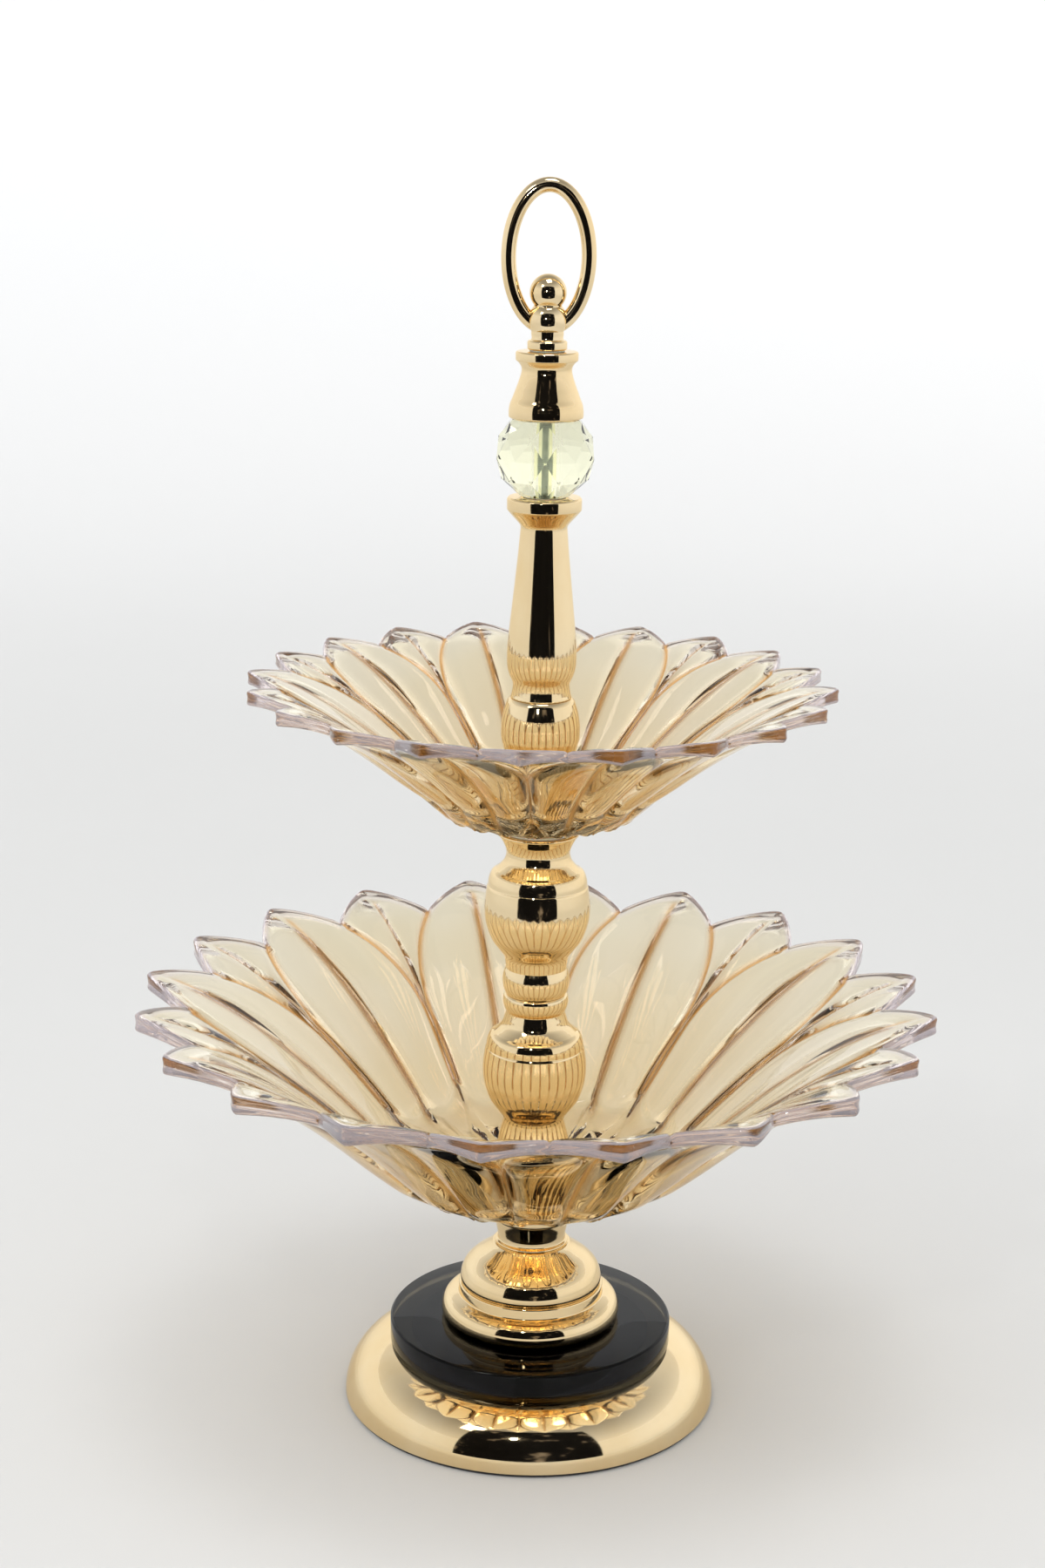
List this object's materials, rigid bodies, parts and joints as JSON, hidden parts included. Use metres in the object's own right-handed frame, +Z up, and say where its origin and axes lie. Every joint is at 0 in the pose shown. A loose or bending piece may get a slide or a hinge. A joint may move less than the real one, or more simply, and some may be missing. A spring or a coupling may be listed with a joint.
{
  "type": "tiered cake stand",
  "caption": "Two-tier cake stand: flower-shaped amber glass bowls on a turned gold-plated stem with a crystal ball, a ring-topped screw finial and a round stepped base.",
  "frame": {"origin": "on the table, at the middle of the underside of the base pad", "axes": "+Z up the stem, +Y away from the viewer who sees the oval ring face on, +X to that viewer's right"},
  "size_m": [0.3078, 0.3078, 0.4796],
  "materials": {
    "gold": "polished champagne-gold plating",
    "amber_glass": "pressed glass with an amber lustre",
    "smoked_glass": "polished smoked glass",
    "crystal": "cut and polished crystal",
    "felt": "black felt",
    "rubber": "matt black rubber",
    "clear_plastic": "milky soft plastic",
    "cast_iron": "as cast",
    "zinc_steel": "zinc-plated"
  },
  "bodies": {
    "stand": {"base_pad": "felt", "base_dome": "gold", "base_weight": "cast_iron", "base_washer": "zinc_steel", "base_nut": "zinc_steel", "disc_gasket": "rubber", "glass_disc": "smoked_glass", "foot_ring": "gold", "foot_bell": "gold", "neck_cup": "gold", "lower_bowl_gasket_below": "clear_plastic", "lower_bowl": "amber_glass", "lower_bowl_gasket_above": "clear_plastic", "lower_baluster": "gold", "upper_baluster": "gold", "upper_bowl_gasket_below": "clear_plastic", "upper_bowl": "amber_glass", "upper_bowl_gasket_above": "clear_plastic", "column_foot": "gold", "column": "gold", "crystal_washer_below": "clear_plastic", "crystal_ball": "crystal", "crystal_washer_above": "clear_plastic", "bell_cap": "gold", "rod_coupling": "zinc_steel", "lower_rod": "zinc_steel", "upper_rod": "zinc_steel"},
    "finial_washer": {"finial_washer": "clear_plastic"},
    "finial": {"finial": "gold", "ring_handle": "gold"}
  },
  "joints": [
    {"name": "finial_lift", "type": "slide", "parent": "stand", "child": "finial_washer", "axis": [0, 0, 1], "range_m": [0, 0.0042]},
    {"name": "finial_turn", "type": "hinge", "parent": "finial_washer", "child": "finial", "pos_m": [0, 0, 0.4177], "axis": [0, 0, 1], "range_deg": [0, 2160]}
  ],
  "couplings": [
    {"joint": "finial_lift", "follows": "finial_turn", "m_per_rad": 0.00011141}
  ]
}
